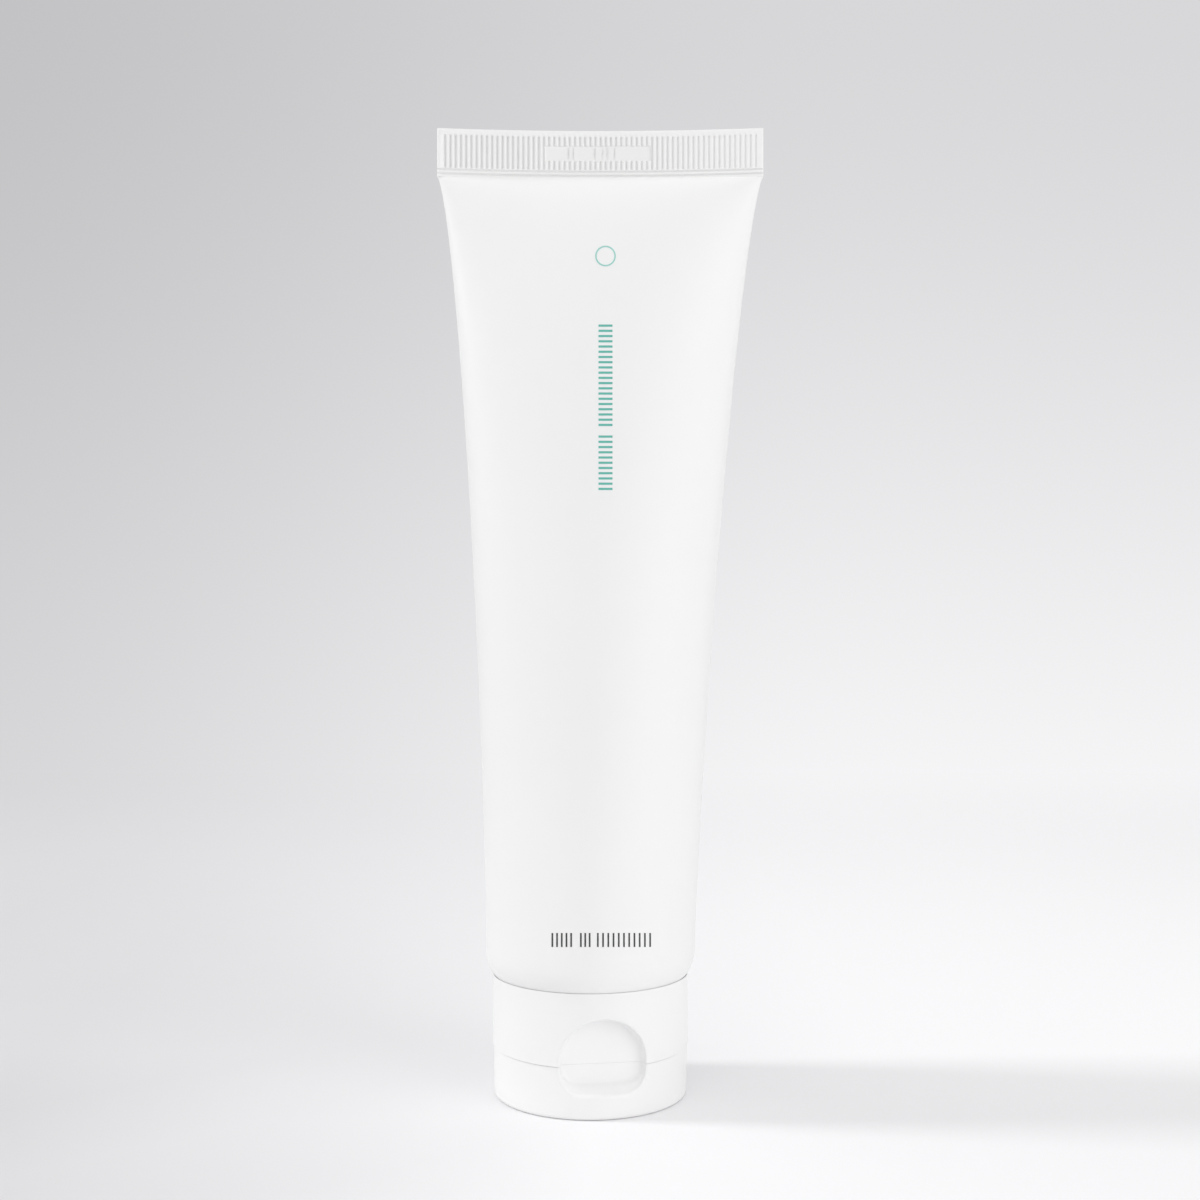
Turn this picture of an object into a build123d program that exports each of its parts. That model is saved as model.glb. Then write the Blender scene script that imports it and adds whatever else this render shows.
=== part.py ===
from build123d import *
import math
import os

# A squeeze tube of paste that stands on its closed flip-top cap.
# Sizes are in millimetres and +Z is up. The origin is the centre of the lid's standing face.
# The thumb notch faces -Y, turned a little towards +X, and the lid's hinge is opposite.

# Tube sleeve: diameter at the shoulder, wall, and length from the shoulder to the crimp
tube_diameter = 38.0
tube_wall = 0.5
body_length = 141.2
shoulder_edge_radius = 6.6
sleeve_lap = 1.35

# How the round tube flattens towards the crimp, as exponents and shares of the body's length
flatten_start_share = 1.29
flatten_end_share = 0.417
bow_growth_share = 3.0
station_shares = (0.0, 0.08, 0.16, 0.24, 0.32, 0.4, 0.48, 0.56, 0.64, 0.72, 0.79, 0.85, 0.9, 0.94, 0.97, 1.0)
section_points = 24
shoulder_steps = 6

# Crimp: its lean to the right, its bow to the back, and its bands from the bottom up
crimp_lean = 1.8
crimp_bow = 1.9
crimp_spread = 0.15
crimp_edge = 0.3
crimp_slit = 0.1
foot_height = 0.25
weld_rise = 0.06
press_line_height = 0.35
press_line_depth = 0.13
press_land_height = 0.35
ribs_height = 6.4
lip_height = 1.0
rib_pitch = 0.95
rib_margin = 1.1
groove_floor = 0.22
groove_side = 0.12
groove_depth = 0.2
panel_width = 19.3
panel_height = 2.55
panel_drop = 3.1
panel_offset = 0.46
panel_sink = 0.05
cut_overrun = 1.0

# Head: shoulder plate and neck, welded inside the sleeve
head_plate = 1.2
weld_gap = 0.05
neck_radius = 7.5
neck_wall = 2.6
neck_end_gap = 0.5
bead_height = 0.4
bead_width = 1.4
bead_rise = 2.6

# Paste: its clearance in the tube, and the level that the contents reach
paste_gap = 0.1
paste_headspace = 19.0
paste_pin_gap = 0.4

# Cap base
overhang = 1.27
cap_wall = 1.3
base_height = 12.75
seam_gap = 0.15
parting_gap = 0.1
deck_thickness = 1.3
skirt_gap = 0.15
skirt_wall = 1.2
skirt_top_gap = 0.45
plug_gap = 0.1
plug_wall = 0.9
plug_height = 2.4
orifice_radius = 2.3
spout_wall = 1.1
spout_taper = 0.25
spout_length = 3.8
nest_gap = 0.2
nest_wall = 1.0
nest_height = 0.6
web_count = 6
web_thickness = 1.0
web_top_gap = 2.2

# Lid
lid_height = 9.0
lid_step = 0.13
lid_draft = 0.15
lid_wall = 1.2
lid_plate = 1.2
lid_edge_radius = 0.7
pin_gap = 0.45
pin_taper = 0.2
pin_tip_gap = 1.0
pin_bore = 1.0
pin_bore_depth = 3.2

# Thumb notch, moulded across the parting line
notch_turn_angle = 8.3
notch_width = 14.9
notch_rise = 8.25
notch_depth = 3.58
notch_wall = 1.2
notch_corner_radius = 2.2
ledge_drop_outside = 4.9
ledge_drop_inside = 3.5
notch_edge_radius = 0.45

# Film hinge at the back
hinge_flat_depth = 0.53
hinge_flat_width = 11.0
hinge_flat_rise = 0.15
hinge_axis_gap = 0.1
film_radius = 0.3
film_length = 7.6
film_clearance = 0.12

# Places that follow from the sizes above
tube_radius = tube_diameter / 2
middle_radius = tube_radius - tube_wall / 2
half_wall = tube_wall / 2
cap_radius = tube_radius - overhang
cap_inner_radius = cap_radius - cap_wall
arc_centre_radius = tube_radius - shoulder_edge_radius
parting_z = lid_height + parting_gap
cap_top_z = parting_z + base_height
rim_reach = cap_radius - arc_centre_radius
rim_arc_radius = shoulder_edge_radius + seam_gap
shoulder_z = cap_top_z + math.sqrt(rim_arc_radius ** 2 - rim_reach ** 2)
sleeve_floor_z = shoulder_z - shoulder_edge_radius
plate_z = sleeve_floor_z + tube_wall
plate_top_z = plate_z + head_plate
crimp_z = shoulder_z + body_length
deck_top_z = parting_z + deck_thickness
neck_end_z = deck_top_z + neck_end_gap
neck_bore_radius = neck_radius - neck_wall
bead_z = neck_end_z + bead_rise
spout_tip_z = parting_z - spout_length
spout_radius = orifice_radius + spout_wall
plug_radius = neck_bore_radius - plug_gap
plug_bore_radius = plug_radius - plug_wall
skirt_bore_radius = neck_radius + skirt_gap
skirt_radius = skirt_bore_radius + skirt_wall
skirt_top_z = sleeve_floor_z - skirt_top_gap
lid_rim_radius = cap_radius - lid_step
lid_foot_radius = lid_rim_radius - lid_draft
lid_inner_radius = lid_foot_radius - lid_wall
nest_radius = lid_inner_radius - nest_gap
pin_radius = orifice_radius - pin_gap
pin_tip_z = parting_z - pin_tip_gap
notch_back = cap_radius - notch_depth
hinge_flat = cap_radius - hinge_flat_depth
hinge_y = hinge_flat + hinge_axis_gap
hinge_z = lid_height + parting_gap / 2


def turned(*points):
    """Revolve a closed outline of (radius, height) points about the tube's axis."""
    outline = make_face(Polyline(*points, close=True))
    return revolve(Plane.XZ * outline, Axis.Z)


def ring(inner, outer, low, high):
    """A plain ring, or a disc where the inner radius is zero."""
    return turned((inner, low), (outer, low), (outer, high), (inner, high))


def ellipse_perimeter(half_width, half_depth):
    """Perimeter of an ellipse by the usual close formula."""
    total = half_width + half_depth
    h = ((half_width - half_depth) / total) ** 2
    return math.pi * total * (1 + 3 * h / (10 + math.sqrt(4 - 3 * h)))


def matching_half_width(half_depth):
    """Half width that keeps the round tube's perimeter at this half depth."""
    low = middle_radius
    high = middle_radius * 2
    while high - low > middle_radius * 1e-9:
        middle = (low + high) / 2
        if ellipse_perimeter(middle, half_depth) < math.tau * middle_radius:
            low = middle
        else:
            high = middle
    return low


crimp_middle_half_width = matching_half_width(half_wall)
crimp_half_width = crimp_middle_half_width + half_wall + crimp_spread


def body_section(share, half_width, half_depth, offset):
    """Closed curve of the body at a share of its length: an ellipse, offset, bowed and leaning."""
    bow = crimp_bow * share ** bow_growth_share
    points = []
    for index in range(section_points):
        angle = math.tau * index / section_points
        normal_x = half_depth * math.cos(angle)
        normal_y = half_width * math.sin(angle)
        normal = math.hypot(normal_x, normal_y)
        x = half_width * math.cos(angle) + offset * normal_x / normal
        y = half_depth * math.sin(angle) + offset * normal_y / normal
        y += bow * (1 / 3 - (x / half_width) ** 2)
        points.append((x + crimp_lean * share, y, shoulder_z + body_length * share))
    return make_face(Spline(*points, periodic=True))


def wall_section(share, offset):
    """Section of the tube's wall, offset from its middle surface, which keeps its perimeter."""
    closing = (1 - share ** flatten_start_share) ** flatten_end_share
    half_depth = half_wall + (middle_radius - half_wall) * closing
    return body_section(share, matching_half_width(half_depth), half_depth, offset)


def slit_section():
    """The cavity's last section, where the walls close on each other at the crimp."""
    return body_section(station_shares[-1], crimp_middle_half_width - half_wall, crimp_slit, 0)


def shoulder_section(step, offset):
    """Circle of the rounded shoulder edge, from the tube's side round to its flat floor."""
    angle = math.pi / 2 * step / shoulder_steps
    arc_radius = shoulder_edge_radius - half_wall + offset
    radius = arc_centre_radius + arc_radius * math.cos(angle)
    height = shoulder_z - arc_radius * math.sin(angle)
    points = []
    for index in range(section_points):
        turn = math.tau * index / section_points
        points.append((radius * math.cos(turn), radius * math.sin(turn), height))
    return make_face(Spline(*points, periodic=True))


def tube_form(offset, end_section):
    """Solid bounded by one face of the tube's wall, from the shoulder's floor to the crimp."""
    body_sections = [wall_section(share, offset) for share in station_shares[:-1]]
    body_sections.append(end_section)
    shoulder_sections = [shoulder_section(step, offset) for step in range(shoulder_steps + 1)]
    return loft(body_sections) + loft(shoulder_sections)


def bow_at(x):
    """How far back the crimp's middle surface lies, at a distance from the crimp's centre."""
    return crimp_bow * (1 / 3 - (x / crimp_middle_half_width) ** 2)


def band(left, right, front, back, low, height):
    """Strip that follows the crimp's bow, between two offsets from its middle surface."""
    middle = (left + right) / 2
    near = ThreePointArc(
        (left, bow_at(left) - front), (middle, bow_at(middle) - front), (right, bow_at(right) - front)
    )
    far = ThreePointArc(
        (left, bow_at(left) + back), (middle, bow_at(middle) + back), (right, bow_at(right) + back)
    )
    ends = Line(near @ 0, far @ 0) + Line(near @ 1, far @ 1)
    outline = make_face(near + far + ends)
    return Pos(crimp_lean, 0, low) * extrude(outline, height)


def plain_band(half_thickness, low, height):
    """One full-width band of the crimp, with its two thin folded edges."""
    body_half = crimp_half_width - crimp_edge
    edge_half = half_thickness / 2
    body = band(-body_half, body_half, half_thickness, half_thickness, low, height)
    edges = band(-crimp_half_width, crimp_half_width, edge_half, edge_half, low, height)
    return body + edges


def ribbed_side(direction):
    """Outline of one ribbed face of the crimp, from left to right."""
    count = math.floor((crimp_half_width - rib_margin) * 2 / rib_pitch)
    first = -count * rib_pitch / 2
    top = tube_wall + weld_rise
    floor = tube_wall - groove_depth
    half_floor = groove_floor / 2
    half_mouth = half_floor + groove_side
    start = -crimp_half_width
    side = [(start, bow_at(start) + direction * half_wall)]
    side.append((start + crimp_edge, bow_at(start + crimp_edge) + direction * top))
    for index in range(count + 1):
        centre = first + index * rib_pitch
        groove = ((-half_mouth, top), (-half_floor, floor), (half_floor, floor), (half_mouth, top))
        for reach, height in groove:
            x = centre + reach
            side.append((x, bow_at(x) + direction * height))
    side.append((-start - crimp_edge, bow_at(start + crimp_edge) + direction * top))
    side.append((-start, bow_at(start) + direction * half_wall))
    return side


def ribbed_band(low):
    """The crimp's ribbed band, with upright grooves pressed into both faces."""
    outline = ribbed_side(-1) + ribbed_side(1)[::-1]
    return Pos(crimp_lean, 0, low) * extrude(make_face(Polyline(*outline, close=True)), ribs_height)


def front_panel(top):
    """The bare recessed panel in the front ribs, down to the floor of the grooves."""
    left = -panel_offset - panel_width / 2
    right = left + panel_width
    floor = groove_depth + panel_sink - tube_wall
    low = top - panel_drop - panel_height
    return band(left, right, tube_wall + cut_overrun, floor, low, panel_height)


def crimp():
    """The flat welded end: foot, two press lines, ribs with a panel, and a plain lip."""
    pressed = tube_wall - press_line_depth
    bands = (
        (tube_wall + weld_rise, foot_height),
        (pressed, press_line_height),
        (tube_wall, press_land_height),
        (pressed, press_line_height),
    )
    low = crimp_z
    fin = None
    for half_thickness, height in bands:
        strip = plain_band(half_thickness, low, height)
        fin = strip if fin is None else fin + strip
        low += height
    fin += ribbed_band(low)
    low += ribs_height
    fin += plain_band(tube_wall, low, lip_height)
    return fin - front_panel(low + lip_height)


def tube_sleeve():
    """The extruded sleeve: round at the shoulder, drawn in under it and crimped flat at the top."""
    outside = tube_form(half_wall, wall_section(station_shares[-1], half_wall))
    cavity = tube_form(-half_wall, slit_section())
    mouth = ring(0, arc_centre_radius - sleeve_lap, sleeve_floor_z - cut_overrun, plate_z + cut_overrun)
    return outside - cavity - mouth + crimp()


def plate_edge(height):
    """Radius of the shoulder plate's edge at a height, just inside the sleeve's curve."""
    arc_radius = shoulder_edge_radius - tube_wall - weld_gap
    drop = min(shoulder_z - height, arc_radius)
    return arc_centre_radius + math.sqrt(arc_radius ** 2 - drop ** 2)


def tube_head():
    """Shoulder plate and neck in one moulding, with the bead that the cap snaps over."""
    plate_middle_z = (plate_z + plate_top_z) / 2
    plate = turned(
        (neck_bore_radius, plate_z),
        (arc_centre_radius, plate_z),
        (plate_edge(plate_middle_z), plate_middle_z),
        (plate_edge(plate_top_z), plate_top_z),
        (neck_bore_radius, plate_top_z),
    )
    neck = turned(
        (neck_bore_radius, neck_end_z),
        (neck_radius, neck_end_z),
        (neck_radius, bead_z),
        (neck_radius + bead_height, bead_z + bead_width / 2),
        (neck_radius, bead_z + bead_width),
        (neck_radius, plate_top_z),
        (neck_bore_radius, plate_top_z),
    )
    return plate + neck


def toothpaste():
    """The contents: the tube's cavity up to the fill level, the neck and the orifice."""
    cavity = tube_form(-half_wall - paste_gap, slit_section())
    fill_z = crimp_z - paste_headspace
    keep = ring(0, crimp_half_width + crimp_lean, plate_top_z + paste_gap, fill_z)
    plug = turned(
        (0, pin_tip_z + paste_pin_gap),
        (orifice_radius - paste_gap, pin_tip_z + paste_pin_gap),
        (orifice_radius - paste_gap, parting_z + paste_gap),
        (plug_bore_radius - paste_gap, deck_top_z + paste_gap),
        (plug_bore_radius - paste_gap, deck_top_z + plug_height + paste_gap),
        (neck_bore_radius - paste_gap, deck_top_z + plug_height + paste_gap),
        (neck_bore_radius - paste_gap, plate_top_z + paste_gap),
        (0, plate_top_z + paste_gap),
    )
    return (cavity & keep) + plug


def notch_outline(margin, foot):
    """Arched outline of the thumb notch, grown by a margin, down to a straight foot."""
    radius = notch_width / 2 + margin
    arch_z = parting_z + notch_rise - notch_width / 2
    sides = Polyline((-radius, arch_z), (-radius, foot), (radius, foot), (radius, arch_z))
    return make_face(sides + ThreePointArc((radius, arch_z), (0, arch_z + radius), (-radius, arch_z)))


def front_block(outline, back, front):
    """An outline seen from the front, as a block between two distances from the cap's axis."""
    return extrude(Plane.XZ.offset(back) * outline, front - back)


def notch_cut():
    """The thumb recess: flat back, arched top, and a sloping ledge with rounded corners."""
    ledge_z = lid_height - ledge_drop_outside
    outline = notch_outline(0, ledge_z)
    corners = outline.vertices().sort_by(Axis.Y)[:2]
    outline = fillet(corners, notch_corner_radius)
    block = front_block(outline, notch_back, cap_radius + cut_overrun)
    inner_ledge_z = lid_height - ledge_drop_inside
    ledge_start = (-notch_back, inner_ledge_z)
    wedge = Polyline((-notch_back, ledge_z), ledge_start, (-lid_rim_radius, ledge_z), close=True)
    return block - extrude(Plane.YZ * make_face(wedge), notch_width, both=True)


def rounded_notch(moulding):
    """Soften the edge where the notch meets the cap's outside."""
    edges = []
    for edge in moulding.edges():
        middle = edge @ 0.5
        on_wall = math.hypot(middle.X, middle.Y) > lid_foot_radius - notch_edge_radius
        across = abs(middle.X) < notch_width / 2 + notch_edge_radius and middle.Y < 0
        clear = abs(middle.Z - hinge_z) > parting_gap
        inside = middle.Z > lid_edge_radius and middle.Z < parting_z + notch_rise + notch_edge_radius
        if on_wall and across and clear and inside:
            edges.append(edge)
    return fillet(edges, notch_edge_radius)


def base_wall():
    """Outer wall of the cap base, its top rim curved to follow the tube's shoulder."""
    inner_reach = cap_inner_radius - arc_centre_radius
    inner_z = shoulder_z - math.sqrt(rim_arc_radius ** 2 - inner_reach ** 2)
    sides = Polyline(
        (cap_radius, cap_top_z),
        (cap_radius, parting_z),
        (cap_inner_radius, parting_z),
        (cap_inner_radius, inner_z),
    )
    rim = RadiusArc((cap_inner_radius, inner_z), (cap_radius, cap_top_z), -rim_arc_radius)
    return revolve(Plane.XZ * make_face(sides + rim), Axis.Z)


def base_deck():
    """Deck across the cap with the funnel into the spout, and the low rim that the lid nests on."""
    deck = turned(
        (orifice_radius, parting_z),
        (cap_radius - cap_wall / 2, parting_z),
        (cap_radius - cap_wall / 2, deck_top_z),
        (plug_bore_radius, deck_top_z),
    )
    rim = ring(nest_radius - nest_wall, nest_radius, parting_z - nest_height, deck_top_z)
    return deck + rim


def base_spout():
    """Short tapered spout that points down into the closed lid."""
    return turned(
        (orifice_radius, spout_tip_z),
        (spout_radius - spout_taper, spout_tip_z),
        (spout_radius, parting_z),
        (plug_radius, deck_top_z),
        (plug_bore_radius, deck_top_z),
        (orifice_radius, parting_z),
    )


def base_socket():
    """Skirt that snaps over the neck's bead, and the plug that seals inside the neck."""
    skirt = turned(
        (skirt_bore_radius, deck_top_z - deck_thickness / 2),
        (skirt_radius, deck_top_z - deck_thickness / 2),
        (skirt_radius, skirt_top_z),
        (skirt_bore_radius + skirt_wall / 2, skirt_top_z),
        (skirt_bore_radius, skirt_top_z - skirt_wall),
        (skirt_bore_radius, bead_z + bead_width + skirt_gap),
        (skirt_bore_radius + bead_height, bead_z + bead_width / 2 + skirt_gap / 2),
        (skirt_bore_radius + bead_height, bead_z + bead_width / 2 - skirt_gap / 2),
        (skirt_bore_radius, bead_z - skirt_gap),
    )
    plug = ring(plug_bore_radius, plug_radius, deck_top_z - deck_thickness / 4, deck_top_z + plug_height)
    return skirt + plug


def base_webs():
    """Radial webs that stiffen the deck between the skirt and the outer wall."""
    low = deck_top_z - deck_thickness / 2
    height = skirt_top_z - web_top_gap - low
    start = skirt_radius - skirt_wall / 2
    length = cap_radius - cap_wall / 2 - start
    web = Pos(start + length / 2, 0, low + height / 2) * Box(length, web_thickness, height)
    webs = None
    for index in range(web_count):
        turned_web = Rot(0, 0, 360 * index / web_count) * web
        webs = turned_web if webs is None else webs + turned_web
    return webs


def hinge_recess():
    """Flat down the back of the lid and as far up the base, where the lid lies when it is fully open."""
    depth = hinge_flat_depth + cut_overrun
    reach = hinge_z + hinge_flat_rise
    block = Box(hinge_flat_width, depth, reach * 2)
    return Pos(0, hinge_flat + depth / 2, hinge_z) * block


def hinge_bar(radius, length):
    """Round bar along the hinge's axis."""
    return Pos(0, hinge_y, hinge_z) * Rot(0, 90, 0) * Cylinder(radius, length)


def cap_base():
    """The half of the cap that stays on the tube, with the film of the living hinge."""
    housing = front_block(notch_outline(notch_wall, parting_z), notch_back - notch_wall, cap_radius)
    housing &= ring(0, cap_radius - cap_wall / 2, parting_z, skirt_top_z)
    lid_margin = notch_wall + nest_gap
    lid_room = front_block(notch_outline(lid_margin, 0), notch_back - lid_margin, cap_radius)
    deck = base_deck() - (lid_room & ring(0, cap_radius, 0, parting_z))
    moulding = base_wall() + deck + base_spout() + base_socket() + base_webs() + housing
    moulding -= notch_cut()
    moulding = rounded_notch(moulding)
    moulding -= hinge_recess()
    moulding += hinge_bar(film_radius, film_length)
    return Rot(0, 0, notch_turn_angle) * moulding


def lid_shell():
    """Outer wall and standing plate of the lid, with a soft outer edge at its foot."""
    outside = turned((0, 0), (lid_foot_radius, 0), (lid_rim_radius, lid_height), (0, lid_height))
    foot_edge = outside.edges().group_by(Axis.Z)[0]
    outside = fillet(foot_edge, lid_edge_radius)
    hollow = ring(0, lid_inner_radius, lid_plate, lid_height + cut_overrun)
    housing = front_block(notch_outline(notch_wall, lid_plate / 2), notch_back - notch_wall, cap_radius)
    return outside - hollow + (outside & housing)


def sealing_pin():
    """Hollow pin on the lid's plate that closes the spout."""
    pin = turned(
        (0, lid_plate / 2),
        (pin_radius, lid_plate / 2),
        (pin_radius, spout_tip_z),
        (pin_radius - pin_taper, pin_tip_z),
        (0, pin_tip_z),
    )
    return pin - ring(0, pin_bore, pin_tip_z - pin_bore_depth, pin_tip_z + cut_overrun)


def cap_lid():
    """The half of the cap that flips open."""
    moulding = lid_shell() - notch_cut()
    moulding = rounded_notch(moulding) + sealing_pin()
    moulding -= hinge_recess()
    moulding -= hinge_bar(film_radius + film_clearance, hinge_flat_width)
    return Rot(0, 0, notch_turn_angle) * moulding


os.makedirs("parts", exist_ok=True)
pieces = {
    "tube_sleeve": tube_sleeve,
    "tube_head": tube_head,
    "toothpaste": toothpaste,
    "cap_base": cap_base,
    "cap_lid": cap_lid,
}
for name, build in pieces.items():
    export_step(build(), f"parts/{name}.step")
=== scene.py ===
"""Looks for a squeeze tube of toothpaste that stands on its flip-top cap.

Sizes are in millimetres, except where a docstring says metres. Every finished mesh is in metres in the
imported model's frame: +Z up, -Y to the printed front, and the origin under the middle of the lid.
"""

import logging
import math
from dataclasses import dataclass, field
from enum import Enum
from functools import cached_property, partial
from typing import Callable, Optional, Union

import bmesh
import bpy
from bmesh.types import BMEdge, BMVert
from mathutils import Matrix, Vector
from mathutils.bvhtree import BVHTree


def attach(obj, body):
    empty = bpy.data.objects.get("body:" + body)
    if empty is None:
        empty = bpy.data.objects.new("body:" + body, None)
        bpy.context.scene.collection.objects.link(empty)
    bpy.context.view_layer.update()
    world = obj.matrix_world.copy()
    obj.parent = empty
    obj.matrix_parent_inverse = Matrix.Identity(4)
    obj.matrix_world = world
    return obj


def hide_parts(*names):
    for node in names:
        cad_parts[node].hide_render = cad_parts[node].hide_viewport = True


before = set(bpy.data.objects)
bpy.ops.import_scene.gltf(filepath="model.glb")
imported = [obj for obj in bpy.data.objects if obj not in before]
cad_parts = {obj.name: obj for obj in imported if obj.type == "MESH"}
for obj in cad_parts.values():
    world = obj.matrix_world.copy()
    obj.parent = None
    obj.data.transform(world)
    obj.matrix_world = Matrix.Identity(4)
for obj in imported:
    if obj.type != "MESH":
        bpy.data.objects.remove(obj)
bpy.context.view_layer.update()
LOG = logging.getLogger("toothpaste_tube")
MM = 0.001
MERGE = 1e-4
NOISE_SPAN = (0.3, 0.7)

Pair = tuple[float, float]
Triple = tuple[float, float, float]
Profile = tuple[Pair, ...]
Groups = tuple[tuple[float, float, int], ...]
Ring = Callable[[float], Vector]
Link = Union[bpy.types.Node, bpy.types.NodeSocket]
Value = Union[float, str, tuple[float, ...], Link]


class Body(Enum):
    """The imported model's two moving bodies."""

    TUBE = "tube"
    LID = "lid"


class Slot(Enum):
    """Names of material slots."""

    SLEEVE = "sleeve"
    HEAD = "head"
    PASTE = "paste"
    CAP = "cap"
    LID = "lid"


class Ink(Enum):
    """Inks of the print on the sleeve, as linear colours."""

    TEAL = (0.105, 0.475, 0.40)
    PALE_TEAL = (0.33, 0.66, 0.60)
    GREY = (0.03, 0.034, 0.032)


def ramp(value: float, start: float, end: float) -> float:
    """Smooth rise from 0 to 1.

    Args:
        value: place that is asked for.
        start: where the rise starts.
        end: where it ends, which may lie below its start.

    Returns:
        The eased value, held at 0 and 1 outside the rise.
    """
    share = min(max((value - start) / (end - start), 0.0), 1.0)
    return share * share * (3 - 2 * share)


def pulse(value: float, low: float, high: float, ease: float) -> float:
    """Smooth plateau of 1 between two edges.

    Args:
        value: place that is asked for.
        low: where the plateau starts.
        high: where the plateau ends.
        ease: width of the soft rise at each edge, centred on the edge.

    Returns:
        1 on the plateau, 0 outside it and an eased value at its edges.
    """
    half = ease / 2
    return ramp(value, low - half, low + half) * ramp(value, high + half, high - half)


def quarter(steps: int, first: int = 0) -> list[float]:
    """Angles of a quarter turn in equal steps, from the step numbered first to the right angle."""
    return [math.pi / 2 * step / steps for step in range(first, steps + 1)]


def on_circle(turn: float, radius: float, height: float) -> Vector:
    """Point of a level circle about the axis, where a turn of 0 is on +X."""
    return Vector((radius * math.cos(turn), radius * math.sin(turn), height))


def on_ring(vertex: BMVert, radius: float, height: float) -> Vector:
    """Place at a distance from the axis and at a height, in a vertex's own direction."""
    return Vector((*(vertex.co.xy.normalized() * radius), height))


class Nodes:
    """Short way to add and link shader nodes in one material."""

    def __init__(self, name: str) -> None:
        """Start a material with an empty node tree.

        Args:
            name: the material's name.
        """
        self.material = bpy.data.materials.new(name)
        self.material.use_nodes = True
        self.tree = self.material.node_tree
        self.tree.nodes.clear()

    def add(self, kind: str, *values: Value, **settings: Value) -> bpy.types.Node:
        """Add a node.

        Args:
            kind: the node's type, without the start that all types share.
            values: for the first inputs in order: numbers, sockets, or nodes for their first output.
            settings: the node's properties, and values of inputs by name with underscores for blanks.

        Returns:
            The new node.
        """
        node = self.tree.nodes.new("ShaderNode" + kind)
        given = dict(enumerate(values))
        for key, value in settings.items():
            if hasattr(node, key):
                setattr(node, key, value)
            else:
                given[key.replace("_", " ")] = value
        for key, value in given.items():
            if isinstance(value, bpy.types.Node):
                value = value.outputs[0]
            if isinstance(value, bpy.types.NodeSocket):
                self.tree.links.new(value, node.inputs[key])
            else:
                node.inputs[key].default_value = value
        return node

    def attribute(self, name: str) -> bpy.types.NodeSocket:
        """Value of a vertex attribute."""
        return self.add("Attribute", attribute_name=name).outputs["Fac"]

    def object_point(self) -> bpy.types.NodeSocket:
        """Object coordinates, in metres."""
        return self.add("TexCoord").outputs["Object"]

    def noise(self, size: float, detail: float = 2.0) -> bpy.types.Node:
        """Noise on the object's coordinates, by the size of a patch in millimetres and its finer layers."""
        return self.add("TexNoise", Vector=self.object_point(), Scale=1 / (size * MM), Detail=detail)

    def spread(self, source: Link, low: float, high: float) -> bpy.types.Node:
        """Map the span in which most of a noise lies to a low and a high value."""
        return self.add("MapRange", source, *NOISE_SPAN, low, high)

    def blend(self, amount: Link, first: Triple, second: Triple) -> bpy.types.NodeSocket:
        """Mix two colours.

        Args:
            amount: the second colour's share.
            first: linear colour at 0.
            second: linear colour at 1.

        Returns:
            The mixed colour's socket.
        """
        node = self.add("Mix", amount, data_type="RGBA")
        ends, mixed = ([one for one in group if one.type == "RGBA"] for group in (node.inputs, node.outputs))
        for socket, colour in zip(ends, (first, second)):
            socket.default_value = (*colour, 1.0)
        return mixed[0]

    def scaled(self, colour: Link, amount: Value) -> bpy.types.Node:
        """A colour times an amount."""
        return self.add("VectorMath", colour, Scale=amount, operation="SCALE")

    def finished(self, surface: Link) -> bpy.types.Material:
        """Give the material its surface, and hand it over."""
        self.add("OutputMaterial", surface)
        return self.material


@dataclass(frozen=True)
class PlasticFinish:
    """A plastic: its colour and small shifts of it, its gloss, and a fine surface grain."""

    name: str
    colour: Triple
    shade: Triple
    patch_size: float
    roughness: Pair
    grain_size: float
    grain_depth: float
    subsurface: float = 0.0
    # Strength of the painted shade where the vertex attribute is 1; below 0 it paints light.
    painted_shading_strength: float = 0.0
    patch_detail: float = 3.0
    gloss_share: float = 1 / 3
    gloss_detail: float = 4.0
    refraction: float = 1.48
    light_depth: float = 0.8
    light_spread: Triple = (1.0, 0.95, 0.9)

    def make(self) -> bpy.types.Material:
        """Build the material, darkened by painted shade where its vertex attribute of painted shading is 1, and
        lightened by painted light instead where the strength is below 0.

        Returns:
            The finished material.
        """
        nodes = Nodes(self.name)
        patches = nodes.spread(nodes.noise(self.patch_size, self.patch_detail), 0.0, 1.0)
        gloss = nodes.noise(self.patch_size * self.gloss_share, self.gloss_detail)
        tone = nodes.blend(patches, self.colour, self.shade)
        # Painted shade from a vertex attribute; a strength below 0 paints light instead.
        if self.painted_shading_strength:
            painted_shading = nodes.attribute("painted_shading")
            light = nodes.add("Math", painted_shading, -self.painted_shading_strength, 1.0, operation="MULTIPLY_ADD")
            tone = nodes.scaled(tone, light)
        grain = nodes.noise(self.grain_size)
        shader = nodes.add(
            "BsdfPrincipled",
            tone,
            IOR=self.refraction,
            Roughness=nodes.spread(gloss, *self.roughness),
            Normal=nodes.add("Bump", Strength=1.0, Distance=self.grain_depth * MM, Height=grain),
            Subsurface_Weight=self.subsurface,
            Subsurface_Radius=self.light_spread,
            Subsurface_Scale=self.light_depth * MM,
        )
        return nodes.finished(shader)


@dataclass(frozen=True)
class InkFinish:
    """Screen-printed ink, with the small breaks in cover that such print has."""

    ink: Ink
    patch_size: float = 0.5
    patch_detail: float = 3.0
    thinning: float = 0.9
    lifting: float = 0.03
    gloss_size: float = 2.0
    roughness: Pair = (0.36, 0.46)

    def make(self) -> bpy.types.Material:
        """Build the material.

        Returns:
            The finished material.
        """
        nodes = Nodes(f"ink_{self.ink.name.lower()}")
        thin = tuple(self.thinning * channel + self.lifting for channel in self.ink.value)
        patches = nodes.spread(nodes.noise(self.patch_size, self.patch_detail), 0.0, 1.0)
        cover = nodes.blend(patches, self.ink.value, thin)
        gloss = nodes.spread(nodes.noise(self.gloss_size), *self.roughness)
        return nodes.finished(nodes.add("BsdfPrincipled", cover, Roughness=gloss))


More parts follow.
